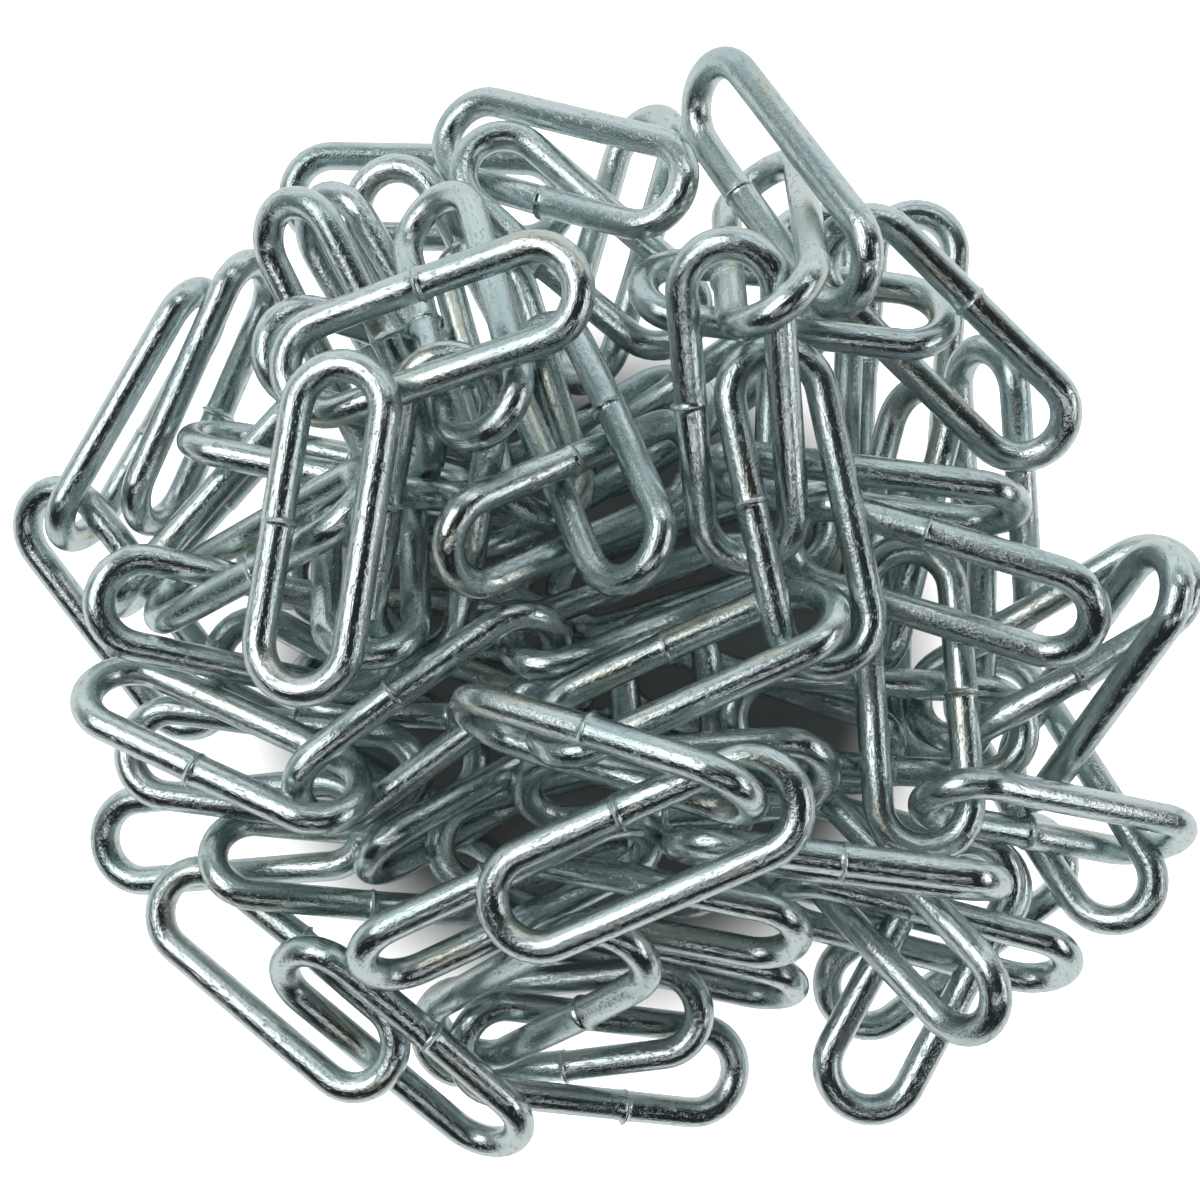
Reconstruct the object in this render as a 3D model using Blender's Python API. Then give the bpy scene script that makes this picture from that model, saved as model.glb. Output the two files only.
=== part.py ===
# A heap of bright zinc-plated long-link chain, 3 mm wire, 26 mm pitch, lying on a level floor.
# Every link is one closed wire. The links are placed from what a photograph taken from straight
# above shows of them: their two tips, how high each tip lies, and their roll. Where two links
# cross, one is brought over the other, and hooked links go once over and once under each other.
# Then all are eased apart until they rest on each other and on the floor.
import itertools
import math
from collections import namedtuple

import bpy
import numpy as np
from mathutils import Matrix

# Driving dimensions of the chain, in millimetres
WIRE = 3.0
PITCH = 26.0
LINK_WIDTH = 11.5

# Sizes that follow from them
LINK_LENGTH = PITCH + 2 * WIRE
BOW_RADIUS = (LINK_WIDTH - WIRE) / 2
HALF_STRAIGHT = (LINK_LENGTH - LINK_WIDTH) / 2
TIP_REACH = HALF_STRAIGHT + BOW_RADIUS

# The wire's section is an octagon of the round wire's area, with a facet square to the link's plane
SECTION_SIDES = 8
SECTION_RADIUS = WIRE / 2 * math.sqrt(math.pi / (SECTION_SIDES / 2 * math.sin(2 * math.pi / SECTION_SIDES)))
SECTION_FLAT = SECTION_RADIUS * math.cos(math.pi / SECTION_SIDES)
BOW_STEPS = 4

# Room between two wires, and how far apart that keeps their centre lines
GAP = 0.25
CLEAR = 2 * SECTION_RADIUS + GAP

# The photograph's sight lines: its frame in pixels, its scale on the floor and its steep angle
FRAME_CENTRE_PX = (600, 600)
PX_PER_MM = 9.4
EYE_DISTANCE = 170.0
EYE_ELEVATION = math.radians(87)
FORWARD = np.array([0, math.cos(EYE_ELEVATION), -math.sin(EYE_ELEVATION)])
RIGHTWARD = np.array([1.0, 0, 0])
UPWARD = np.array([0, math.sin(EYE_ELEVATION), math.cos(EYE_ELEVATION)])
EYE = -EYE_DISTANCE * FORWARD

# How the links are brought to rest: how far one wire passes over another along a sight line, what
# threading one link through another without hooking it costs, and how much a link resists a roll
ROOM_OVER = 3.3
THREAD_COST = 8.0
ROLL_EASE = 0.1
ROLL_KEEP = 0.08
TINY = 1e-12

MM = 0.001

# A link as read from the photograph: tips in its pixels, their heights over the floor in
# millimetres, and the roll about the long axis in degrees, 0 flat and 90 on edge
Reading = namedtuple("Reading", "tip_px tip_height other_px other_height roll")

TOP_LINKS = [
    Reading((732, 222), 28, (745, 583), 24, 12),
    Reading((748, 165), 9, (795, 320), 31, 35),
    Reading((717, 57), 9, (825, 333), 16, 58),
    Reading((757, 343), 22, (845, 672), 27, 0),
    Reading((948, 312), 11, (665, 290), 18, 30),
    Reading((838, 215), 18, (1035, 470), 8, 25),
    Reading((903, 212), 4, (915, 520), 5, 10),
    Reading((950, 342), 9, (1003, 648), 6.5, 65),
    Reading((915, 365), 11, (895, 660), 8, 65),
    Reading((1012, 550), 15, (705, 440), 17, -75),
    Reading((1086, 613), 13, (785, 560), 19, -45),
    Reading((922, 474), 12, (958, 780), 5, 10),
    Reading((855, 648), 26, (540, 728), 18, 40),
    Reading((833, 733), 13, (525, 800), 8, -30),
]

RIGHT_LINKS = [
    Reading((1110, 535), 17, (1070, 812), 6, 80),
    Reading((1198, 585), 8, (903, 712), 13, 26),
    Reading((1046, 718), 12, (745, 748), 6, 0),
    Reading((930, 535), 10, (900, 850), 10, 10),
    Reading((885, 790), 9, (1200, 836), 8, 60),
    Reading((1148, 898), 3, (905, 700), 4, -20),
]

BOTTOM_LINKS = [
    Reading((1108, 918), 2.5, (798, 937), 5.5, -40),
    Reading((1010, 985), 6, (764, 814), 9, -40),
    Reading((668, 850), 16, (980, 878), 11, 78),
    Reading((446, 1092), 4, (640, 862), 16, 15),
    Reading((762, 1056), 1.5, (456, 1070), 7, 0),
    Reading((712, 1030), 6, (412, 1020), 5, 0),
    Reading((803, 920), 7, (500, 885), 8, -50),
    Reading((772, 1062), 3, (985, 840), 6, 0),
    Reading((820, 1012), 1.5, (1060, 830), 1.5, 0),
    Reading((806, 950), 3.5, (495, 985), 4, -60),
    Reading((1036, 893), 4, (740, 838), 5, 0),
]

MIDDLE_LINKS = [
    Reading((792, 800), 17, (475, 920), 15, 0),
    Reading((300, 812), 15, (577, 620), 23, 38),
    Reading((487, 657), 24, (812, 548), 17, -50),
    Reading((768, 822), 17, (497, 690), 19, -72),
    Reading((672, 948), 10, (585, 650), 10, 0),
    Reading((345, 832), 6, (645, 745), 9, 70),
    Reading((775, 860), 8, (476, 848), 10, 0),
]

UPPER_LINKS = [
    Reading((279, 198), 1.5, (585, 196), 1.5, 0),
    Reading((440, 168), 10, (715, 325), 10, -10),
    Reading((694, 172), 17, (447, 146), 2, 0),
    Reading((650, 112), 2.5, (565, 408), 5, 45),
    Reading((272, 375), 18, (592, 295), 21, 0),
    Reading((503, 432), 18, (412, 188), 5, -25),
    Reading((350, 355), 25, (305, 712), 24, 15),
    Reading((515, 368), 18, (345, 662), 17, 0),
    Reading((418, 560), 17, (730, 447), 18, 25),
    Reading((640, 602), 22, (513, 279), 15, -28),
    Reading((366, 652), 25, (380, 450), 3, 0),
    Reading((305, 222), 10, (430, 505), 9, 40),
    Reading((330, 186), 4, (455, 465), 4, 45),
    Reading((252, 343), 13, (540, 430), 10, 0),
]

LEFT_LINKS = [
    Reading((203, 263), 12, (78, 578), 11, -80),
    Reading((8, 510), 4, (237, 713), 4, 20),
    Reading((93, 620), 8, (400, 640), 9, 0),
    Reading((403, 462), 18, (128, 635), 13, 58),
    Reading((268, 254), 8, (125, 550), 6, -75),
    Reading((163, 466), 12, (470, 492), 11, -75),
    Reading((193, 508), 5, (500, 530), 6, 0),
    Reading((348, 826), 12, (112, 645), 3.5, 45),
    Reading((122, 757), 4, (425, 795), 6, 0),
    Reading((73, 862), 1.6, (368, 803), 3.5, 0),
    Reading((203, 875), 6, (520, 888), 5, -28),
    Reading((480, 1127), 1.5, (345, 929), 18, -30),
    Reading((397, 1064), 9, (203, 843), 3, -10),
]

REGIONS = {
    "top": TOP_LINKS,
    "right": RIGHT_LINKS,
    "bottom": BOTTOM_LINKS,
    "middle": MIDDLE_LINKS,
    "upper": UPPER_LINKS,
    "left": LEFT_LINKS,
}

# Links that pass through each other as neighbours in a chain, where the photograph shows it
HOOKED = [
    ("top_link_01", "top_link_02"),
    ("top_link_01", "top_link_04"),
    ("top_link_05", "top_link_06"),
    ("top_link_03", "top_link_02"),
    ("top_link_04", "top_link_13"),
    ("right_link_01", "right_link_02"),
    ("right_link_02", "right_link_03"),
    ("right_link_04", "right_link_05"),
    ("right_link_05", "right_link_06"),
    ("left_link_01", "left_link_02"),
    ("left_link_03", "left_link_04"),
    ("upper_link_06", "upper_link_08"),
    ("upper_link_09", "upper_link_10"),
    ("middle_link_02", "middle_link_03"),
    ("middle_link_02", "left_link_08"),
    ("middle_link_04", "middle_link_01"),
    ("bottom_link_04", "bottom_link_05"),
    ("bottom_link_05", "bottom_link_06"),
    ("left_link_12", "left_link_13"),
    ("bottom_link_01", "bottom_link_02"),
    ("upper_link_02", "upper_link_03"),
    ("left_link_10", "left_link_11"),
    ("upper_link_08", "upper_link_11"),
]

# Links that lie flat on the floor
FLOOR_LINKS = ("bottom_link_09", "upper_link_01")

# Links that the others bury, which only hold them up
BURIED_LINKS = (
    "top_link_12",
    "upper_link_04",
    "middle_link_05",
    "middle_link_07",
    "left_link_07",
)

# Bright zinc plating
ZINC_COLOUR = (0.62, 0.67, 0.68, 1.0)
ZINC_ROUGHNESS = 0.22


def clear_scene():
    for thing in list(bpy.data.objects):
        bpy.data.objects.remove(thing)


# Centre line of a link


def centre_line():
    points = []
    for side in (1, -1):
        for step in range(BOW_STEPS + 1):
            turn = math.pi * (step / BOW_STEPS - 0.5)
            along = HALF_STRAIGHT + BOW_RADIUS * math.cos(turn)
            points.append((side * along, side * BOW_RADIUS * math.sin(turn), 0.0))
    return np.array(points)


# Between the photograph's pixels and places in the heap


def point_on_sight_line(pixel, height):
    across, down = (np.array(pixel) - FRAME_CENTRE_PX) / (PX_PER_MM * EYE_DISTANCE)
    ray = FORWARD + across * RIGHTWARD - down * UPWARD
    return EYE + ray * (height - EYE[2]) / ray[2]


def as_seen(points):
    from_eye = points - EYE
    depth = from_eye @ FORWARD
    return np.stack([from_eye @ RIGHTWARD, from_eye @ UPWARD], axis=-1) / depth[..., None]


def pose_of(reading):
    tip = point_on_sight_line(reading.tip_px, reading.tip_height)
    other = point_on_sight_line(reading.other_px, reading.other_height)
    along = (other - tip) / np.linalg.norm(other - tip)
    level = np.cross((0, 0, 1), along)
    level /= np.linalg.norm(level)
    steep = np.cross(along, level)
    roll = math.radians(reading.roll)
    across = math.cos(roll) * level + math.sin(roll) * steep
    return tip + along * LINK_LENGTH / 2, np.stack([along, across, np.cross(along, across)], axis=1)


# Bringing the links to rest


def turned_by(vectors):
    angle = np.linalg.norm(vectors, axis=1)
    x, y, z = (vectors / np.maximum(angle, TINY)[:, None]).T
    zero = np.zeros_like(x)
    cross = np.array([[zero, -z, y], [z, zero, -x], [-y, x, zero]]).transpose(2, 0, 1)
    sine = np.sin(angle)[:, None, None]
    versine = (1 - np.cos(angle))[:, None, None]
    return np.eye(3) + sine * cross + versine * (cross @ cross)


def nearest_points(start_a, end_a, start_b, end_b):
    run_a = end_a - start_a
    run_b = end_b - start_b
    apart = start_a - start_b
    aa = (run_a * run_a).sum(-1)
    bb = (run_b * run_b).sum(-1)
    ab = (run_a * run_b).sum(-1)
    a_apart = (run_a * apart).sum(-1)
    b_apart = (run_b * apart).sum(-1)
    spread = np.maximum(aa * bb - ab * ab, TINY)
    s = np.clip((ab * b_apart - a_apart * bb) / spread, 0, 1)
    t = np.clip((ab * s + b_apart) / bb, 0, 1)
    s = np.clip((ab * t - a_apart) / aa, 0, 1)
    return start_a + run_a * s[:, None], start_b + run_b * t[:, None]


def flat_cross(a, b):
    return a[..., 0] * b[..., 1] - a[..., 1] * b[..., 0]


class Heap:
    """Link centres and orientations, and what moves them."""

    def __init__(self, poses, flat, hooked):
        self.centre = np.array([centre for centre, _ in poses])
        self.turn = np.array([turn for _, turn in poses])
        self.read_centre = self.centre.copy()
        self.read_turn = self.turn.copy()
        self.flat = flat
        self.hooked = hooked
        self.line = centre_line()
        edges = np.roll(self.line, -1, axis=0) - self.line
        self.half_edge = np.linalg.norm(edges, axis=1) / 2
        middles = self.line + edges / 2
        share = (self.half_edge / self.half_edge.sum())[:, None]
        squares = (share * middles ** 2).sum(axis=0)
        self.ease = (ROLL_EASE, 1, 1) / (squares.sum() - squares + 1.0)

    def wires(self):
        starts = self.centre[:, None] + np.einsum("nij,mj->nmi", self.turn, self.line)
        return starts, np.roll(starts, -1, axis=1)

    def weight(self, link, arm, push):
        spin = np.einsum("nji,nj->ni", self.turn[link], np.cross(arm, push))
        return 1 + (spin * spin * self.ease).sum(-1)

    def shove(self, link, arm, push):
        np.add.at(self.shift, link, push)
        spin = np.einsum("nji,nj->ni", self.turn[link], np.cross(arm, push)) * self.ease
        np.add.at(self.spin, link, np.einsum("nij,nj->ni", self.turn[link], spin))
        np.add.at(self.touches, link, 1)

    def part(self, one, two, a, b, way, size):
        arm_a = a - self.centre[one]
        arm_b = b - self.centre[two]
        size = size / (self.weight(one, arm_a, way) + self.weight(two, arm_b, way))
        self.shove(one, arm_a, way * size[:, None])
        self.shove(two, arm_b, -way * size[:, None])

    def crossings(self):
        starts, ends = self.wires()
        flat = as_seen(starts)
        low, high = flat.min(axis=1), flat.max(axis=1)
        overlap = ((low[:, None] < high[None]) & (low[None] < high[:, None])).all(axis=-1)
        one, two = np.where(np.triu(overlap, 1))
        run = np.roll(flat, -1, axis=1) - flat
        a, b = flat[one][:, :, None], flat[two][:, None]
        run_a, run_b = run[one][:, :, None], run[two][:, None]
        sine = flat_cross(run_a, run_b)
        sine = np.where(np.abs(sine) < TINY, TINY, sine)
        s = flat_cross(b - a, run_b) / sine
        t = flat_cross(b - a, run_a) / sine
        pair, edge_a, edge_b = np.where((s >= 0) & (s < 1) & (t >= 0) & (t < 1))
        hand = np.sign(sine[pair, edge_a, edge_b])
        s, t = s[pair, edge_a, edge_b][:, None], t[pair, edge_a, edge_b][:, None]
        one, two = one[pair], two[pair]
        a = starts[one, edge_a] + (ends[one, edge_a] - starts[one, edge_a]) * s
        b = starts[two, edge_b] + (ends[two, edge_b] - starts[two, edge_b]) * t
        return one, two, a, b, (b - a) @ FORWARD, hand

    def over_or_under(self, one, two, rise, hand):
        over = np.ones(len(one))
        pairs = {}
        for number, pair in enumerate(zip(one.tolist(), two.tolist())):
            pairs.setdefault(pair, []).append(number)
        for pair, numbers in pairs.items():
            hooks = pair in self.hooked
            least = math.inf
            for choice in itertools.product((1, -1), repeat=len(numbers)):
                choice = np.array(choice)
                if abs((choice * hand[numbers]).sum()) != 2 * hooks:
                    continue
                cost = (np.maximum(0, ROOM_OVER - choice * rise[numbers]) ** 2).sum()
                if not hooks and abs(choice.sum()) != len(numbers):
                    cost += THREAD_COST
                if cost < least:
                    least = cost
                    over[numbers] = choice
        return over

    def begin_step(self):
        self.shift = np.zeros_like(self.centre)
        self.spin = np.zeros_like(self.centre)
        self.touches = np.zeros(len(self.centre))

    def lift_off_floor(self):
        starts, _ = self.wires()
        depth = SECTION_RADIUS - starts[:, :, 2]
        link, corner = np.where(depth > 0)
        arm = starts[link, corner] - self.centre[link]
        way = np.tile((0.0, 0.0, 1.0), (len(link), 1))
        size = depth[link, corner] / self.weight(link, arm, way)
        self.shove(link, arm, way * size[:, None])

    def lay_flat(self):
        for link in self.flat:
            along = self.turn[link][:, 0] * (1, 1, 0)
            along /= np.linalg.norm(along)
            self.turn[link] = np.stack([along, np.cross((0, 0, 1), along), (0, 0, 1)], axis=1)
            self.centre[link, 2] = SECTION_FLAT

    def end_step(self, ease, pull, lift, twist, drop):
        calm = ease / np.sqrt(np.maximum(self.touches, 1))[:, None]
        self.centre += self.shift * calm
        self.turn = turned_by(self.spin * calm) @ self.turn
        sight = (self.read_centre - EYE) / (self.read_centre - EYE)[:, 2:]
        aim = self.read_centre + sight * (self.centre - self.read_centre)[:, 2:]
        self.centre[:, :2] += (aim - self.centre)[:, :2] * pull
        self.centre[:, 2] += (self.read_centre - self.centre)[:, 2] * lift - drop
        if twist:
            away = np.cross(self.turn, self.read_turn, axisa=1, axisb=1).sum(axis=1) / 2
            long_axis = self.turn[:, :, 0]
            rolled = (away * long_axis).sum(axis=1, keepdims=True) * long_axis
            self.turn = turned_by(away * twist + rolled * ROLL_KEEP) @ self.turn
        self.lay_flat()

    def sort(self, steps, lift, drop):
        """Brings every wire over or under the wires that it crosses."""
        for _ in range(steps):
            self.begin_step()
            one, two, a, b, rise, hand = self.crossings()
            over = self.over_or_under(one, two, rise, hand)
            short = ROOM_OVER - over * rise
            tight = short > 0
            way = -FORWARD * over[tight][:, None]
            self.part(one[tight], two[tight], a[tight], b[tight], way, short[tight])
            self.lift_off_floor()
            self.end_step(ease=0.7, pull=0.05, lift=lift, twist=0.01, drop=drop)

    def near_edges(self):
        starts, ends = self.wires()
        between = np.linalg.norm(self.centre[:, None] - self.centre[None], axis=-1)
        one, two = np.where(np.triu(between < 2 * TIP_REACH + CLEAR, 1))
        middle = (starts + ends) / 2
        gap = np.linalg.norm(middle[one][:, :, None] - middle[two][:, None], axis=-1)
        gap -= self.half_edge[None, :, None] + self.half_edge[None, None, :]
        pair, edge_one, edge_two = np.where(gap < CLEAR + WIRE / 2)
        return one[pair], edge_one, two[pair], edge_two

    def part_wires(self, room, near):
        one, edge_one, two, edge_two = near
        starts, ends = self.wires()
        a, b = nearest_points(starts[one, edge_one], ends[one, edge_one], starts[two, edge_two], ends[two, edge_two])
        distance = np.linalg.norm(a - b, axis=1)
        close = distance < room
        way = (a - b)[close] / np.maximum(distance[close], TINY)[:, None]
        self.part(one[close], two[close], a[close], b[close], way, room - distance[close])
        return distance.min()

    def settle(self, steps, room_from, room_to, pull, twist, drop, enough=math.inf):
        """Eases the wires apart, until none is nearer than enough or the steps are used up."""
        for step in range(steps):
            if step % 6 == 0:
                near = self.near_edges()
            self.begin_step()
            nearest = self.part_wires(room_from + (room_to - room_from) * (step + 1) / steps, near)
            if nearest > enough:
                break
            self.lift_off_floor()
            self.end_step(ease=1.0, pull=pull, lift=0.0, twist=twist, drop=drop)


def link_names():
    return [f"{region}_link_{number + 1:02d}" for region, links in REGIONS.items() for number in range(len(links))]


def settled_heap():
    names = link_names()
    poses = [pose_of(reading) for links in REGIONS.values() for reading in links]
    flat = [names.index(name) for name in FLOOR_LINKS]
    hooked = {tuple(sorted(map(names.index, pair))) for pair in HOOKED}
    heap = Heap(poses, flat, hooked)
    heap.sort(steps=400, lift=0.01, drop=0.0)
    heap.sort(steps=300, lift=0.002, drop=0.01)
    heap.settle(steps=300, room_from=0.3, room_to=CLEAR, pull=0.08, twist=0.01, drop=0.01)
    heap.settle(steps=500, room_from=CLEAR, room_to=CLEAR, pull=0.04, twist=0.01, drop=0.01)
    heap.settle(1500, room_from=CLEAR + 0.1, room_to=CLEAR + 0.1, pull=0.0, twist=0.0, drop=0.0, enough=CLEAR)
    return heap


# Blender objects


def zinc_material():
    material = bpy.data.materials.new("bright_zinc")
    material.use_nodes = True
    shader = material.node_tree.nodes["Principled BSDF"]
    shader.inputs["Base Color"].default_value = ZINC_COLOUR
    shader.inputs["Metallic"].default_value = 1.0
    shader.inputs["Roughness"].default_value = ZINC_ROUGHNESS
    return material


def link_wire():
    wire = bpy.data.curves.new("link_wire", "CURVE")
    wire.dimensions = "3D"
    wire.bevel_depth = SECTION_RADIUS * MM
    wire.bevel_resolution = SECTION_SIDES // 2 - 2
    wire.twist_mode = "Z_UP"
    spline = wire.splines.new("POLY")
    line = centre_line() * MM
    spline.points.add(len(line) - 1)
    for point, place in zip(spline.points, line):
        point.co = (*place, 1)
        point.tilt = math.pi / SECTION_SIDES
    spline.use_cyclic_u = True
    wire.materials.append(zinc_material())
    return wire


def matrix_of(centre, turn):
    matrix = Matrix(turn.tolist()).to_4x4()
    matrix.translation = centre * MM
    return matrix


def middle_of(things):
    """The middle of the box round the objects, seen from above."""
    bpy.context.view_layer.update()
    graph = bpy.context.evaluated_depsgraph_get()
    corners = []
    for thing in things:
        mesh = thing.evaluated_get(graph).to_mesh()
        corners += [thing.matrix_world @ vertex.co for vertex in mesh.vertices]
    corners = np.array(corners)
    return (corners.min(axis=0) + corners.max(axis=0)) / 2


def build():
    clear_scene()
    collection = bpy.data.collections.new("heap_of_steel_chain")
    bpy.context.scene.collection.children.link(collection)
    wire = link_wire()
    heap = settled_heap()
    links = []
    for name, centre, turn in zip(link_names(), heap.centre, heap.turn):
        if name in BURIED_LINKS:
            continue
        link = bpy.data.objects.new(name, wire)
        link.matrix_world = matrix_of(centre, turn)
        collection.objects.link(link)
        links.append(link)
    middle = middle_of(links)
    for link in links:
        link.location.x -= middle[0]
        link.location.y -= middle[1]


build()
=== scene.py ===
# The looks of a heap of bright zinc-plated long-link chain, seen almost straight from above
import math
import random

import bmesh
import bpy
import numpy as np
from mathutils import Matrix, Vector


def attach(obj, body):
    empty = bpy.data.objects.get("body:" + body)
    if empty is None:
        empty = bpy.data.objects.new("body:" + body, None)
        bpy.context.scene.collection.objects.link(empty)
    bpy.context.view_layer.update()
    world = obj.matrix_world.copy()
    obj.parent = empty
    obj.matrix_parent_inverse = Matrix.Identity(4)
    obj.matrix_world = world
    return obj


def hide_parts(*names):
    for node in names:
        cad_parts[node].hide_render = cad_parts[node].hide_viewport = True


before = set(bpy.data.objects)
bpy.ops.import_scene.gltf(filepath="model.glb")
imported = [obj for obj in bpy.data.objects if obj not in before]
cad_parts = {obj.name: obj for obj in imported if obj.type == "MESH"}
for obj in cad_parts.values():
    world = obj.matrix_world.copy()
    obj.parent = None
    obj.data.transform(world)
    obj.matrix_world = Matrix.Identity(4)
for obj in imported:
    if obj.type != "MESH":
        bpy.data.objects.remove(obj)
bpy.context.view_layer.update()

MM = 0.001
TINY = 1e-9

# The chain's wire and links, in metres
WIRE_RADIUS = 1.5 * MM
LINK_LENGTH = 32 * MM
LINK_WIDTH = 11.5 * MM
BOW_RADIUS = LINK_WIDTH / 2 - WIRE_RADIUS
HALF_LEG = (LINK_LENGTH - LINK_WIDTH) / 2
SECTION_SIDES = 24
BOW_STEPS = 18
LEG_STEPS = 5
CENTRE_LINE_STEPS = 6

# How a link is eased out of the others: the distance between centre lines that it looks for and the least
# that will do, in millimetres, and by which steps it must be how clear, or else it is given up
FILL_ROOM = 3.18
FILL_LEAST = 3.06
EASE_PAST = 0.1
EASE_STEPS = 50
EASE_LOOKS = {8: 0.4, 16: 1.2, 30: 2.4}
EASE_SHIFT = 0.5
EASE_SPIN = 60.0
EASE_SPIN_MOST = 0.1
FLOOR_SLACK = 0.01
FLOOR_SINK = 0.05

# How the room inside the heap is filled: where a link starts, and which links are worth keeping
FILL_TRIES = 1500
FILL_STARTS = 12
FILL_HEIGHTS = (1.6, 17.0)
FILL_TILT = 0.2
FILL_ROLL = 1.5
FILL_ALONG = 0.8
FILL_TOP = 25.0
FILL_GAIN = 5
STRAY_COST = 1.5
HIDES_COST = 0.6
SHADOW_STEPS = 14
SHADOW_SHARE = 0.8
CELL_PX = 8

# How far from its reading a buried link may start, in millimetres and radians
BURIED_TRIES = 60
BURIED_SHIFT = 4.0
BURIED_TURN = 0.25

# Five links that the others bury, as read where they show between them: tips in the photograph's pixels,
# their heights over the floor in millimetres, and the roll about the long axis in degrees
BURIED_LINKS = (
    ((922, 474), 12, (958, 780), 5, 10),
    ((650, 112), 2.5, (565, 408), 5, 45),
    ((672, 948), 10, (585, 650), 10, 0),
    ((775, 860), 8, (476, 848), 10, 0),
    ((193, 508), 5, (500, 530), 6, 0),
)

# The photograph's frame, and where its eye stands over the heap
PHOTO_SIZE_PX = 1200
PHOTO_CENTRE_PX = 600
PX_PER_MM = 9.4
EYE_DISTANCE = 170 * MM
EYE_ELEVATION = math.radians(87)
AIM = Vector((1.242 * MM, 1.714 * MM, 0))
SENSOR = 36.0

# The butt weld in one leg of each link: how proud its ridge stands, how long its sharp and its soft part
# are, how far the two wire ends miss each other, and how far it may lie from the middle of the leg
WELD_RIDGE = 0.2 * MM
RIDGE_SPREAD = (0.4, 1.4)
WELD_SHARP = 0.17 * MM
WELD_SOFT = 0.7 * MM
WELD_SOFT_SHARE = 0.3
WELD_BURR = 0.7
WELD_REACH = 1.6 * MM
WELD_RINGS = (0.06, 0.13, 0.22, 0.34, 0.5, 0.74)
WELD_MISMATCH = 0.14 * MM
WELD_KINK = 0.22 * MM
KINK_SPREAD = (-0.3, 1.0)
WELD_DRIFT = 1.8 * MM
WELD_LOOK_STEP = WELD_DRIFT / 4
WELD_LOOK_STEPS = 8
WIRE_OFFSET_MOST = 400

# Where the photograph shows a link's weld, in its pixels
WELD_SEEN = {
    "top_link_01": (688, 405),
    "top_link_02": (770, 290),
    "top_link_03": (730, 200),
    "top_link_04": (742, 505),
    "top_link_10": (858, 500),
    "top_link_11": (925, 552),
    "right_link_02": (1090, 695),
    "right_link_04": (960, 695),
    "right_link_05": (1025, 835),
    "bottom_link_03": (845, 858),
    "bottom_link_05": (623, 1108),
    "bottom_link_04": (580, 1005),
    "bottom_link_01": (912, 912),
    "middle_link_01": (612, 800),
    "middle_link_02": (395, 700),
    "middle_link_03": (650, 600),
    "middle_link_04": (585, 740),
    "upper_link_03": (540, 212),
    "upper_link_05": (430, 310),
    "upper_link_09": (572, 462),
    "upper_link_10": (613, 410),
    "left_link_01": (152, 438),
    "left_link_04": (250, 555),
    "left_link_08": (205, 750),
    "left_link_11": (372, 900),
}
RANDOM_SEED = 11
FILL_SEED = 5

# The heap's outline in the photograph, and where the floor shows through inside it, in its pixels
HEAP_OUTLINE = (
    (290, 160), (460, 115), (650, 115), (720, 65), (800, 190), (930, 215), (970, 330), (1035, 460),
    (1010, 560), (1110, 560), (1130, 640), (1080, 780), (1120, 900), (1000, 980), (860, 990), (740, 1040),
    (560, 1090), (400, 1060), (240, 930), (130, 830), (150, 720), (110, 600), (60, 520), (150, 450),
    (230, 260),
)
FLOOR_WINDOWS = (
    ((268, 395), 26), ((655, 365), 16), ((683, 583), 18), ((410, 585), 14), ((130, 860), 55),
    ((345, 180), 34), ((1005, 665), 18), ((1020, 420), 30), ((300, 590), 14), ((425, 240), 18),
    ((560, 180), 45), ((745, 120), 30), ((900, 260), 26), ((1140, 620), 20), ((860, 640), 14),
    ((845, 1020), 30), ((640, 1080), 40), ((65, 540), 24), ((350, 1000), 22), ((690, 240), 14),
    ((560, 1020), 18), ((395, 880), 10), ((860, 990), 16), ((1020, 1000), 30),
)

# The finishes
ZINC = (0.62, 0.69, 0.695)
ZINC_DEEP = (0.50, 0.60, 0.605)
ZINC_PITTED = (0.30, 0.34, 0.34)
PASSIVATED = (0.60, 0.57, 0.45)
TINT_SHARE = 0.6
PIT_SHARE = 0.6
ROUGH_BRIGHT = 0.08
ROUGH_DRAWN = 0.05
ROUGH_PITTED = 0.17
ROUGH_DULL = 0.11
HEIGHT_DRAWN = 1.2
HEIGHT_GRAIN = 1.5
HEIGHT_PITTED = 0.6
BUMP_STRENGTH = 0.45
BUMP_DISTANCE = 0.06 * MM

# The floor: its own colour and light, how much it lights the heap, how much whiter it looks than that,
# and the same two in a painted shadow under the middle of the heap, which fades over two distances from a
# centre
FLOOR_RADIUS = 4.0
FLOOR_SIDES = 64
FLOOR_COLOUR = (0.13, 0.18, 0.18)
FLOOR_ROUGHNESS = 0.9
FLOOR_LIGHT = (1.0, 1.0, 0.99)
FLOOR_GLOW = 0.8
FLOOR_WHITE = 0.9
SHADE_GLOW = 0.02
SHADE_WHITE = 0.0
SHADE_CENTRE = (1 * MM, -6 * MM, 0)
SHADE_INNER = 0.026
SHADE_OUTER = 0.046

# The studio round the heap: a dark front, a grey wall on the side it faces, a bright low screen behind and
# a pale ring over the floor
FRONT_COLOUR = (0.022, 0.025, 0.026)
WALL_COLOUR = (0.22, 0.265, 0.27)
WALL_SIDE = (-0.45, 0.89, 0)
SCREEN_COLOUR = (0.95, 1.02, 1.03)
RING_COLOUR = (0.62, 0.66, 0.67)
RING_SHARE = 0.8

# Each lamp's place and size, in metres, and how bright its face looks
SOFTBOXES = {
    "key_softbox": ((-0.26, 0.10, 0.40), (0.36, 0.26), 2.3),
    "side_softbox": ((0.40, -0.05, 0.24), (0.34, 0.09), 2.6),
    "strip_light": ((0.02, -0.26, 0.44), (0.40, 0.025), 3.8),
    "back_strip": ((0.10, 0.30, 0.36), (0.30, 0.04), 3.0),
}
LAMP_AIM = Vector((0, 0, 0.01))
NEAREST_SEEN = 0.005


# Shader nodes written as expressions


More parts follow.
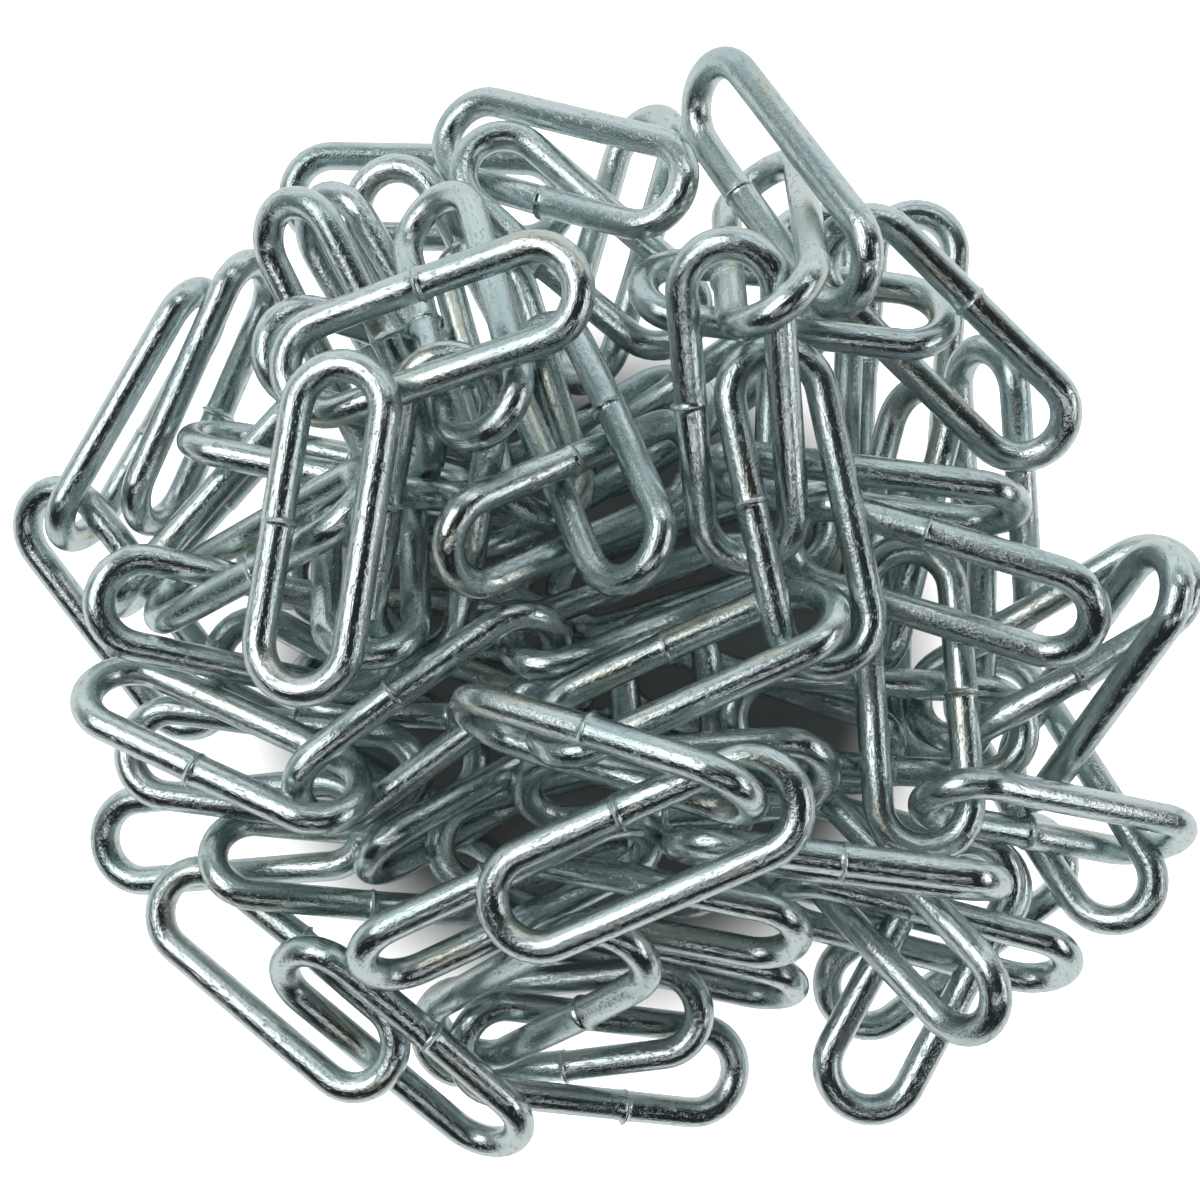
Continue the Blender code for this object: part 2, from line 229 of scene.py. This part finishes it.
class Value:
    """A number socket of a material, on which Python's operators add Math nodes."""

    def __init__(self, tree, socket):
        self.tree = tree
        self.socket = socket

    def math(self, operation, *others):
        node = self.tree.nodes.new("ShaderNodeMath")
        node.operation = operation
        for place, value in zip(node.inputs, (self, *others)):
            feed(self.tree, place, value)
        return Value(self.tree, node.outputs[0])

    def __add__(self, other):
        return self.math("ADD", other)

    def __mul__(self, other):
        return self.math("MULTIPLY", other)

    def __sub__(self, other):
        return self.math("SUBTRACT", other)

    def __rsub__(self, other):
        return (self * -1).math("ADD", other)

    __radd__ = __add__
    __rmul__ = __mul__

    def between(self, low, high, to_low=0.0, to_high=1.0):
        """Goes smoothly from one level to another as this value goes from low to high."""
        nodes = Nodes(self.tree)
        settings = {"interpolation_type": "SMOOTHSTEP"}
        return nodes.add("MapRange", settings, {0: self, 1: low, 2: high, 3: to_low, 4: to_high})


def feed(tree, place, value):
    """Links a value to a socket, or sets it there."""
    if isinstance(value, Value):
        tree.links.new(value.socket, place)
    elif hasattr(value, "is_output"):
        tree.links.new(value, place)
    elif hasattr(place.default_value, "__len__") and len(place.default_value) == 4:
        place.default_value = (*value[:3], 1.0)
    else:
        place.default_value = value


class Nodes:
    """Adds nodes to one material or world."""

    def __init__(self, tree):
        self.tree = tree

    def node(self, kind, settings=None, inputs=None):
        node = self.tree.nodes.new("ShaderNode" + kind)
        for key, value in (settings or {}).items():
            setattr(node, key, value)
        for key, value in (inputs or {}).items():
            feed(self.tree, node.inputs[key], value)
        return node

    def add(self, kind, settings=None, inputs=None, output=0):
        return Value(self.tree, self.node(kind, settings, inputs).outputs[output])

    def colour_mix(self, factor, one, two):
        settings = {"data_type": "RGBA"}
        return self.node("Mix", settings, {0: factor, 6: one, 7: two}).outputs[2]


# The materials


def zinc_material():
    """Bright zinc on drawn wire: streaks along the wire, a fine grain, small pits and duller clouds."""
    material = bpy.data.materials.new("bright_zinc")
    material.use_nodes = True
    tree = material.node_tree
    nodes = Nodes(tree)
    shader = tree.nodes["Principled BSDF"]
    place = nodes.node("Attribute", {"attribute_name": "wire_place"}).outputs["Vector"]

    def pattern(stretch, per_mm, detail=3.0, roughness=0.55):
        """Noise with so many spots to a millimetre round the wire, stretched along it."""
        scale = {0: place, 1: (per_mm / stretch, per_mm, per_mm)}
        scaled = nodes.node("VectorMath", {"operation": "MULTIPLY"}, scale).outputs[0]
        inputs = {"Vector": scaled, "Scale": 1.0, "Detail": detail, "Roughness": roughness}
        return nodes.add("TexNoise", None, inputs)

    drawn = pattern(stretch=14.0, per_mm=3.4)
    grain = pattern(stretch=1.8, per_mm=4.2, roughness=0.7)
    pitted = pattern(stretch=2.2, per_mm=2.4, detail=4.0, roughness=0.65).between(0.56, 0.68)
    dull = pattern(stretch=2.5, per_mm=0.22, detail=2.0).between(0.46, 0.68)
    tinted = pattern(stretch=6.0, per_mm=0.35, detail=2.0).between(0.60, 0.74)
    base = nodes.colour_mix(dull, ZINC, ZINC_DEEP)
    base = nodes.colour_mix(tinted * TINT_SHARE, base, PASSIVATED)
    base = nodes.colour_mix(pitted * PIT_SHARE, base, ZINC_PITTED)
    rough = ROUGH_BRIGHT + drawn * ROUGH_DRAWN + pitted * ROUGH_PITTED + dull * ROUGH_DULL
    height = drawn * HEIGHT_DRAWN + grain * HEIGHT_GRAIN - pitted * HEIGHT_PITTED
    bump = nodes.node("Bump", None, {"Strength": BUMP_STRENGTH, "Distance": BUMP_DISTANCE, "Height": height})
    feed(tree, shader.inputs["Metallic"], 1.0)
    feed(tree, shader.inputs["Base Color"], base)
    feed(tree, shader.inputs["Roughness"], rough)
    feed(tree, shader.inputs["Normal"], bump.outputs[0])
    return material


def floor_material():
    """A pale light table that glows enough to look white and lights the heap a little from below, with a
    painted shadow under the heap's middle.
    """
    material = bpy.data.materials.new("pale_floor")
    material.use_nodes = True
    tree = material.node_tree
    nodes = Nodes(tree)
    shader = tree.nodes["Principled BSDF"]
    place = nodes.node("TexCoord").outputs["Object"]
    # painted shadow: near the heap's middle the floor's glow and its extra whiteness fade to almost nothing
    away = nodes.add("VectorMath", {"operation": "DISTANCE"}, {0: place, 1: SHADE_CENTRE}, 1)
    glow = away.between(SHADE_INNER, SHADE_OUTER, SHADE_GLOW, FLOOR_GLOW)
    white = away.between(SHADE_INNER, SHADE_OUTER, SHADE_WHITE, FLOOR_WHITE)
    seen_straight = nodes.add("LightPath")
    strength = {0: FLOOR_LIGHT, "Scale": glow + seen_straight * white}
    light = nodes.node("VectorMath", {"operation": "SCALE"}, strength).outputs[0]
    feed(tree, shader.inputs["Base Color"], FLOOR_COLOUR)
    feed(tree, shader.inputs["Roughness"], FLOOR_ROUGHNESS)
    feed(tree, shader.inputs["Specular IOR Level"], 0.0)
    feed(tree, shader.inputs["Emission Color"], light)
    feed(tree, shader.inputs["Emission Strength"], 1.0)
    return material


# A link's wire


def ridge_height(distance):
    """How proud the weld stands, as a share of its full height, at a distance along the wire."""
    sharp = math.exp(-(distance / WELD_SHARP) ** 2)
    soft = math.exp(-(distance / WELD_SOFT) ** 2)
    return sharp + WELD_SOFT_SHARE * soft


def half_leg_steps(length):
    """Distances from the weld at which a half leg has a ring, close together on the weld."""
    plain = [WELD_REACH + (length - WELD_REACH) * step / LEG_STEPS for step in range(LEG_STEPS)]
    return [share * WELD_REACH for share in WELD_RINGS] + plain


def bow_rings(end, first_turn):
    """Ring centres round a bow, with each ring's turn about Z."""
    rings = []
    for step in range(BOW_STEPS + 1):
        turn = first_turn - math.pi * step / BOW_STEPS
        arm = Vector((-math.sin(turn), math.cos(turn), 0)) * BOW_RADIUS
        rings.append((Vector((end, 0, 0)) + arm, turn, None))
    return rings


def wire_route(drift):
    """Ring centres once round the link from its weld, with each ring's turn and its way from the weld."""
    route = [(Vector((drift, BOW_RADIUS, 0)), 0.0, 0.0)]
    for way in half_leg_steps(HALF_LEG - drift):
        route.append((Vector((drift + way, BOW_RADIUS, 0)), 0.0, way))
    route += bow_rings(HALF_LEG, 0.0)
    for step in range(1, LEG_STEPS):
        along = HALF_LEG - 2 * HALF_LEG * step / LEG_STEPS
        route.append((Vector((along, -BOW_RADIUS, 0)), -math.pi, None))
    route += bow_rings(-HALF_LEG, -math.pi)
    for way in reversed(half_leg_steps(HALF_LEG + drift)):
        route.append((Vector((drift - way, BOW_RADIUS, 0)), -2 * math.pi, -way))
    return route


def link_mesh(name, side, drift, chance):
    """A link in its own plane: legs along X, its weld in the leg on the given side of Y."""
    bm = bmesh.new()
    layer = bm.verts.layers.float_vector.new("wire_place")
    wire_offset = chance.uniform(0, WIRE_OFFSET_MOST)
    ridge = WELD_RIDGE * chance.uniform(*RIDGE_SPREAD)
    burr_turn = chance.uniform(0, 2 * math.pi)
    miss = Vector((0, chance.uniform(-1, 1), chance.uniform(-1, 1))) * WELD_MISMATCH
    kink = WELD_KINK * chance.uniform(*KINK_SPREAD)
    upright = Matrix.Rotation(math.pi / 2, 4, "Y")
    length = 0.0
    last = None
    loops = []
    for centre, turn, way in wire_route(drift):
        length += (centre - last).length if last else 0.0
        last = centre.copy()
        proud = 0.0
        if way is not None:
            proud = ridge * ridge_height(way)
            fade = max(0.0, 1 - abs(way) / HALF_LEG)
            centre = centre + Vector((0, kink, 0)) * fade + miss * fade * (0.5 if way > 0 else -0.5)
        circle = bmesh.ops.create_circle(bm, cap_ends=False, segments=SECTION_SIDES, radius=WIRE_RADIUS)
        verts = circle["verts"]
        for vert in verts:
            angle = math.atan2(vert.co.y, vert.co.x)
            around = vert.co / MM
            vert[layer] = (length / MM + wire_offset, around.x, around.y)
            burr = 1 + WELD_BURR * math.cos(angle - burr_turn)
            vert.co *= 1 + proud * burr / WIRE_RADIUS
        stand = Matrix.Translation(centre) @ Matrix.Rotation(turn, 4, "Z") @ upright
        bmesh.ops.transform(bm, matrix=stand, verts=verts)
        loops.append(list({edge for vert in verts for edge in vert.link_edges}))
    for loop, following in zip(loops, loops[1:] + loops[:1]):
        bmesh.ops.bridge_loops(bm, edges=loop + following)
    bmesh.ops.recalc_face_normals(bm, faces=bm.faces)
    for face in bm.faces:
        face.smooth = True
    if side < 0:
        bmesh.ops.rotate(bm, matrix=Matrix.Rotation(math.pi, 3, "X"), verts=bm.verts)
    mesh = bpy.data.meshes.new(name)
    bm.to_mesh(mesh)
    bm.free()
    return mesh


# Where the links lie


def corners_of(node):
    """The corners of a node's solid, each of them once."""
    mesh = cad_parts[node].data
    flat = np.zeros(len(mesh.vertices) * 3)
    mesh.vertices.foreach_get("co", flat)
    return np.unique(np.round(flat.reshape(-1, 3), 6), axis=0)


def pose_of(node):
    """The matrix from a link's own plane to where its solid lies: X along the legs, Z square to it."""
    corners = corners_of(node)
    centre = corners.mean(axis=0)
    _, axes = np.linalg.eigh((corners - centre).T @ (corners - centre))
    along = Vector(axes[:, 2])
    normal = Vector(axes[:, 0])
    if along.x < 0:
        along.negate()
    if normal.z < 0:
        normal.negate()
    across = normal.cross(along)
    matrix = Matrix((along, across, normal)).transposed().to_4x4()
    matrix.translation = Vector(centre)
    return matrix


def eye_axes():
    """The way the photograph's eye looks, and the way that is up in the photograph."""
    forward = Vector((0, math.cos(EYE_ELEVATION), -math.sin(EYE_ELEVATION)))
    upward = Vector((0, math.sin(EYE_ELEVATION), math.cos(EYE_ELEVATION)))
    return forward, upward


def as_pixels(points):
    """Where the photograph shows points given in millimetres."""
    forward, upward = (np.array(axis) for axis in eye_axes())
    from_eye = points - (np.array(AIM) - forward * EYE_DISTANCE) / MM
    scale = PX_PER_MM * EYE_DISTANCE / MM / (from_eye @ forward)
    return PHOTO_CENTRE_PX + np.stack([from_eye[..., 0] * scale, -(from_eye @ upward) * scale], axis=-1)


def weld_place(node, pose, chance):
    """Which leg has the weld, and how far it lies from the leg's middle."""
    seen = WELD_SEEN.get(node)
    if seen is None:
        return chance.choice((1, -1)), chance.uniform(-1, 1) * WELD_DRIFT
    best = None
    for side in (1, -1):
        for step in range(-WELD_LOOK_STEPS, WELD_LOOK_STEPS + 1):
            drift = step * WELD_LOOK_STEP
            spot = np.array(pose @ Vector((drift, side * BOW_RADIUS, 0))) / MM
            away = np.linalg.norm(as_pixels(spot) - seen)
            if best is None or away < best[0]:
                best = (away, side, drift)
    return best[1], best[2]


def put_link(name, mesh, place, material):
    """Makes a link's mesh a finished piece of the one body, where the link lies."""
    mesh.transform(place)
    mesh.materials.append(material)
    link = bpy.data.objects.new(name, mesh)
    bpy.context.scene.collection.objects.link(link)
    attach(link, "root")
    return link


def add_finished_link(node, material, chance):
    """The round and welded wire that stands for a node's plain one."""
    pose = pose_of(node)
    side, drift = weld_place(node, pose, chance)
    # the turned-over mesh keeps X, so a drift reads the same on both sides
    name = node + "_wire"
    link = put_link(name, link_mesh(name, side, drift, chance), pose, material)
    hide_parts(node)


# The links that lie hidden under the others


def centre_line():
    """Corners of a link's centre line in its own plane, in millimetres."""
    points = []
    for side in (1, -1):
        for step in range(CENTRE_LINE_STEPS + 1):
            turn = math.pi * (step / CENTRE_LINE_STEPS - 0.5)
            along = HALF_LEG + BOW_RADIUS * math.cos(turn)
            points.append((side * along / MM, side * BOW_RADIUS * math.sin(turn) / MM, 0.0))
    return np.array(points)


def nearest_points(start_a, end_a, start_b, end_b):
    """Where straight pieces come nearest each other: a point on each of both."""
    run_a = end_a - start_a
    run_b = end_b - start_b
    apart = start_a - start_b
    aa = (run_a * run_a).sum(-1)
    bb = (run_b * run_b).sum(-1)
    ab = (run_a * run_b).sum(-1)
    a_apart = (run_a * apart).sum(-1)
    b_apart = (run_b * apart).sum(-1)
    spread = np.maximum(aa * bb - ab * ab, TINY)
    s = np.clip((ab * b_apart - a_apart * bb) / spread, 0, 1)
    t = np.clip((ab * s + b_apart) / bb, 0, 1)
    s = np.clip((ab * t - a_apart) / aa, 0, 1)
    return start_a + run_a * s[..., None], start_b + run_b * t[..., None]


def on_sight_line(pixel, height):
    """The point at a height, in millimetres, that the photograph shows at a pixel."""
    forward, upward = eye_axes()
    eye = (AIM - forward * EYE_DISTANCE) / MM
    across, down = ((value - PHOTO_CENTRE_PX) / (PX_PER_MM * EYE_DISTANCE / MM) for value in pixel)
    ray = forward + across * Vector((1, 0, 0)) - down * upward
    return eye + ray * (height - eye.z) / ray.z


def inside_outline(places):
    """Which places in the photograph lie inside the heap's outline."""
    corners = np.array(HEAP_OUTLINE, dtype=float)
    inside = np.zeros(places.shape[:-1], dtype=bool)
    for (x0, y0), (x1, y1) in zip(corners, np.roll(corners, -1, axis=0)):
        crosses = (y0 > places[..., 1]) != (y1 > places[..., 1])
        inside ^= crosses & (places[..., 0] < x0 + (places[..., 1] - y0) / (y1 - y0 + TINY) * (x1 - x0))
    return inside


class HiddenLinks:
    """Fills the room inside the heap with links that touch no other, where the floor would show."""

    def __init__(self, poses, chance):
        self.chance = chance
        self.line = centre_line()
        self.found = []
        middles = np.arange(CELL_PX / 2, PHOTO_SIZE_PX, CELL_PX)
        cells = np.stack(np.meshgrid(middles, middles, indexing="ij"), axis=-1)
        self.wanted = inside_outline(cells)
        for window, size in FLOOR_WINDOWS:
            self.wanted &= np.linalg.norm(cells - window, axis=-1) > size
        self.top = np.zeros(self.wanted.shape)
        self.starts = np.zeros((0, 3))
        self.ends = np.zeros((0, 3))
        for pose in poses:
            self.add_wire(self.placed(np.array(pose)[:3, 3] / MM, np.array(pose)[:3, :3]))

    def placed(self, centre, turn):
        """The centre line of a link that lies there."""
        return centre + self.line @ turn.T

    def add_wire(self, wire):
        self.top = np.maximum(self.top, self.shadow(wire))
        self.starts = np.concatenate([self.starts, wire])
        self.ends = np.concatenate([self.ends, np.roll(wire, -1, axis=0)])

    def others_near(self, wire):
        """The straight pieces of the other wires that reach into a link's box."""
        margin = FILL_ROOM + 2 * EASE_PAST
        low = wire.min(axis=0) - margin
        high = wire.max(axis=0) + margin
        reaches = (np.maximum(self.starts, self.ends) > low) & (np.minimum(self.starts, self.ends) < high)
        near = reaches.all(axis=1)
        return self.starts[near], self.ends[near]

    def shadow(self, wire):
        """How high a wire stands in each cell of the photograph that it covers."""
        steps = np.linspace(0, 1, SHADOW_STEPS, endpoint=False)[:, None, None]
        run = np.roll(wire, -1, axis=0) - wire
        spots = (wire + steps * run).reshape(-1, 3)
        centres = as_pixels(spots)
        heights = np.zeros(self.wanted.shape)
        half = WIRE_RADIUS / MM * PX_PER_MM * SHADOW_SHARE
        for x in (-half, 0, half):
            for y in (-half, 0, half):
                index = np.floor((centres + (x, y)) / CELL_PX).astype(int)
                inside = ((index >= 0) & (index < self.wanted.shape[0])).all(axis=1)
                index = index[inside]
                np.maximum.at(heights, (index[:, 0], index[:, 1]), spots[inside, 2])
        return heights

    def random_pose(self, cell):
        """A link at some height with a leg over a cell."""
        pixel = (cell + 0.5) * CELL_PX - PHOTO_CENTRE_PX
        height = self.chance.uniform(*FILL_HEIGHTS)
        place = np.array([pixel[0], -pixel[1], 0]) / PX_PER_MM + np.array(AIM) / MM
        place[2] = height
        heading = Matrix.Rotation(self.chance.uniform(0, math.pi), 3, "Z")
        tilt = Matrix.Rotation(self.chance.uniform(-FILL_TILT, FILL_TILT), 3, "Y")
        roll = Matrix.Rotation(self.chance.uniform(-FILL_ROLL, FILL_ROLL), 3, "X")
        turn = np.array(heading @ tilt @ roll)
        side = self.chance.choice((-1, 1)) * BOW_RADIUS / MM
        along = self.chance.uniform(-FILL_ALONG, FILL_ALONG) * HALF_LEG / MM
        return place - turn @ (along, side, 0), turn

    def overlaps(self, wire):
        """Where a wire comes near the others: its points, theirs, and the least distance."""
        other_starts, other_ends = self.others_near(wire)
        if len(other_starts) == 0:
            return np.zeros((0, 3)), np.zeros((0, 3)), FILL_ROOM + EASE_PAST
        ends = np.roll(wire, -1, axis=0)
        a, b = nearest_points(wire[:, None], ends[:, None], other_starts[None], other_ends[None])
        gap = np.linalg.norm(a - b, axis=-1)
        tight = gap < FILL_ROOM + EASE_PAST
        return a[tight], b[tight], gap.min()

    def ease_apart(self, centre, turn):
        """Moves a link out of the others. Returns its pose and how near it still comes."""
        nearest = 0.0
        for step in range(EASE_STEPS):
            starts = self.placed(centre, turn)
            a, b, nearest = self.overlaps(starts)
            low = starts[:, 2].min() - WIRE_RADIUS / MM
            if nearest > FILL_ROOM and low > -FLOOR_SLACK:
                break
            if nearest < EASE_LOOKS.get(step, 0.0):
                break
            gap = np.maximum(np.linalg.norm(a - b, axis=-1), TINY)[:, None]
            push = (a - b) / gap * (FILL_ROOM + EASE_PAST - gap)
            arm = a - centre
            under = np.minimum(starts[:, 2] - WIRE_RADIUS / MM, 0)
            lift = np.zeros_like(starts)
            lift[:, 2] = -under
            push = np.concatenate([push, lift[under < 0]])
            arm = np.concatenate([arm, (starts - centre)[under < 0]])
            count = max(1, len(push)) ** 0.5
            centre = centre + push.sum(axis=0) / count * EASE_SHIFT
            spin = np.cross(arm, push).sum(axis=0) / count / EASE_SPIN
            angle = np.linalg.norm(spin)
            if angle > TINY:
                turn = np.array(Matrix.Rotation(min(angle, EASE_SPIN_MOST), 3, Vector(spin))) @ turn
        return centre, turn, nearest

    def near_reading(self, reading):
        """A pose a little off the one that was read for a buried link."""
        tip_px, tip_height, other_px, other_height, roll = reading
        tip = on_sight_line(tip_px, tip_height)
        other = on_sight_line(other_px, other_height)
        along = (other - tip).normalized()
        level = Vector((0, 0, 1)).cross(along).normalized()
        across = Matrix.Rotation(math.radians(roll), 3, along) @ level
        turn = Matrix((along, across, along.cross(across))).transposed()
        axis = Vector([self.chance.uniform(-1, 1) for _ in range(3)])
        turn = Matrix.Rotation(self.chance.uniform(0, BURIED_TURN), 3, axis) @ turn
        shift = np.array([self.chance.uniform(-1, 1) for _ in range(3)]) * BURIED_SHIFT
        return np.array((tip + other) / 2) + shift, np.array(turn)

    def try_link(self, poses, worth_keeping):
        """Eases the freest of some poses apart, and keeps the link if it fits and is worth keeping."""
        start = max(poses, key=lambda pose: self.overlaps(self.placed(*pose))[2])
        centre, turn, nearest = self.ease_apart(*start)
        wire = self.placed(centre, turn)
        fits = nearest >= FILL_LEAST and wire[:, 2].min() >= WIRE_RADIUS / MM - FLOOR_SINK
        if not fits or not worth_keeping(wire):
            return False
        self.add_wire(wire)
        self.found.append((centre, turn))
        return True

    def bury(self, reading):
        """Places one of the links that were read, near its reading."""
        for _ in range(BURIED_TRIES):
            poses = [self.near_reading(reading) for _ in range(FILL_STARTS)]
            if self.try_link(poses, lambda wire: True):
                break

    def covers_floor(self, wire):
        """Whether a link hides enough of the floor for what it covers of the other links."""
        shadow = self.shadow(wire)
        bare = (shadow > 0) & (self.top == 0)
        gain = (bare & self.wanted).sum()
        stray = (bare & ~self.wanted).sum()
        hides = ((self.top > 0) & (shadow > self.top)).sum()
        return wire[:, 2].max() <= FILL_TOP and gain - STRAY_COST * stray - HIDES_COST * hides >= FILL_GAIN

    def fill(self):
        """Tries links over places where the floor shows, and keeps those that cover it."""
        for _ in range(FILL_TRIES):
            bare = np.argwhere(self.wanted & (self.top == 0))
            cell = bare[self.chance.randrange(len(bare))]
            self.try_link([self.random_pose(cell) for _ in range(FILL_STARTS)], self.covers_floor)


def add_hidden_links(material, chance):
    heap = HiddenLinks([pose_of(node) for node in sorted(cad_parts)], chance)
    for reading in BURIED_LINKS:
        heap.bury(reading)
    heap.fill()
    for number, (centre, turn) in enumerate(heap.found):
        name = f"hidden_link_{number + 1:02d}"
        mesh = link_mesh(name, 1, chance.uniform(-1, 1) * WELD_DRIFT, chance)
        place = Matrix(turn.tolist()).to_4x4()
        place.translation = Vector(centre * MM)
        put_link(name, mesh, place, material)


# The studio


def add_floor():
    bm = bmesh.new()
    bmesh.ops.create_circle(bm, cap_ends=True, segments=FLOOR_SIDES, radius=FLOOR_RADIUS)
    mesh = bpy.data.meshes.new("floor")
    bm.to_mesh(mesh)
    bm.free()
    mesh.materials.append(floor_material())
    floor = bpy.data.objects.new("floor", mesh)
    bpy.context.scene.collection.objects.link(floor)


def add_softboxes():
    """Soft lamps facing the heap. Their watts follow from how bright their faces look."""
    for name, (place, size, brightness) in SOFTBOXES.items():
        light = bpy.data.lights.new(name, "AREA")
        light.shape = "RECTANGLE"
        light.size, light.size_y = size
        light.energy = brightness * math.pi * size[0] * size[1]
        lamp = bpy.data.objects.new(name, light)
        lamp.location = place
        lamp.rotation_euler = (LAMP_AIM - Vector(place)).to_track_quat("-Z", "Y").to_euler()
        bpy.context.scene.collection.objects.link(lamp)


def add_world():
    world = bpy.data.worlds.new("studio")
    world.use_nodes = True
    bpy.context.scene.world = world
    nodes = Nodes(world.node_tree)
    direction = nodes.node("TexCoord").outputs["Generated"]
    depth = nodes.add("SeparateXYZ", None, {0: direction}, output=1)
    height = nodes.add("SeparateXYZ", None, {0: direction}, output=2)
    sideways = nodes.add("VectorMath", {"operation": "DOT_PRODUCT"}, {0: direction, 1: WALL_SIDE}, output=1)
    wall = sideways.between(-0.05, 0.50)
    screen = depth.between(0.30, 0.75) * height.between(0.25, 0.65, 1.0, 0.0)
    ring = height.between(0.03, 0.16, 1.0, 0.0)
    colour = nodes.colour_mix(wall, FRONT_COLOUR, WALL_COLOUR)
    colour = nodes.colour_mix(screen, colour, SCREEN_COLOUR)
    colour = nodes.colour_mix(ring * RING_SHARE, colour, RING_COLOUR)
    feed(world.node_tree, world.node_tree.nodes["Background"].inputs["Color"], colour)


def add_camera():
    """A camera where the photograph's eye stands, with the photograph's frame."""
    forward, _ = eye_axes()
    camera = bpy.data.cameras.new("camera")
    camera.sensor_width = SENSOR
    camera.lens = PX_PER_MM / MM * EYE_DISTANCE / PHOTO_SIZE_PX * SENSOR
    camera.clip_start = NEAREST_SEEN
    holder = bpy.data.objects.new("camera", camera)
    holder.location = AIM - forward * EYE_DISTANCE
    holder.rotation_euler = forward.to_track_quat("-Z", "Y").to_euler()
    bpy.context.scene.collection.objects.link(holder)
    bpy.context.scene.camera = holder


def build():
    bpy.context.scene.view_settings.view_transform = "Standard"
    zinc = zinc_material()
    chance = random.Random(RANDOM_SEED)
    for node in sorted(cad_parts):
        add_finished_link(node, zinc, chance)
    add_hidden_links(zinc, random.Random(FILL_SEED))
    add_floor()
    add_world()
    add_softboxes()
    add_camera()


build()
